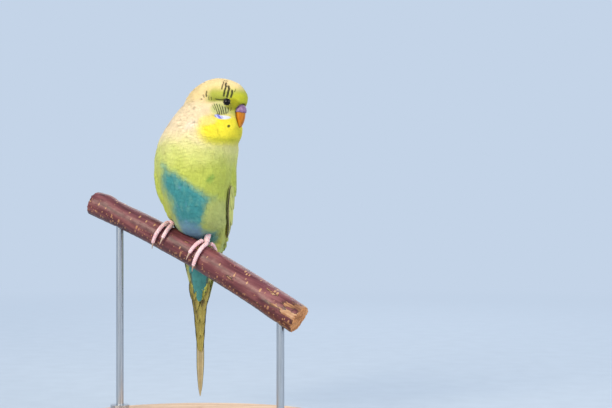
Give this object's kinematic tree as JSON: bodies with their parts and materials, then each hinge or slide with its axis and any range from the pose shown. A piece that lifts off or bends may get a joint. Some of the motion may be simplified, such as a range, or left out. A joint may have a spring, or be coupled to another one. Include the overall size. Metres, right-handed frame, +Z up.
{
  "type": "budgerigar on a perch",
  "caption": "Life-size budgerigar perched on a short cut branch, head turned to its left, held by a plain display stand.",
  "frame": {"origin": "centre of the underside of the stand's base, on the floor", "axes": "+Z up; the bird's breast faces -Y, towards the viewer, and +X is the viewer's right"},
  "size_m": [0.128, 0.088, 0.1837],
  "materials": {
    "plumage": "soft feathers, yellow-green with a teal and blue belly",
    "mask": "soft feathers, pale to bright yellow with fine dark bars by the eye",
    "flight_feathers": "smooth vanes, yellow with dark edges",
    "tail_feathers": "smooth vanes, olive yellow to pale beige",
    "eye": "wet gloss",
    "cere": "waxy skin, lilac",
    "bill": "satin horn, orange brown",
    "foot_skin": "scaly skin, pink",
    "claw": "satin horn, pale brown",
    "branch": "smooth red-brown bark with pale flecks",
    "stand_wood": "satin oiled beech",
    "stand_metal": "brushed"
  },
  "bodies": {
    "root": {"cere": "cere", "head": "mask", "left_claw_1": "claw", "left_claw_2": "claw", "left_claw_3": "claw", "left_claw_4": "claw", "left_eye": "eye", "left_foot": "foot_skin", "left_leg": "foot_skin", "left_toe_1": "foot_skin", "left_toe_2": "foot_skin", "left_toe_3": "foot_skin", "left_toe_4": "foot_skin", "left_wing": "flight_feathers", "lower_bill": "bill", "neck": "mask", "perch": "branch", "right_claw_1": "claw", "right_claw_2": "claw", "right_claw_3": "claw", "right_claw_4": "claw", "right_eye": "eye", "right_foot": "foot_skin", "right_leg": "foot_skin", "right_toe_1": "foot_skin", "right_toe_2": "foot_skin", "right_toe_3": "foot_skin", "right_toe_4": "foot_skin", "right_wing": "flight_feathers", "stand_base": "stand_wood", "stand_rod_left": "stand_metal", "stand_rod_right": "stand_metal", "tail": "tail_feathers", "torso": "plumage", "undertail_coverts": "plumage", "upper_bill": "bill", "uppertail_coverts": "plumage"}
  },
  "joints": []
}
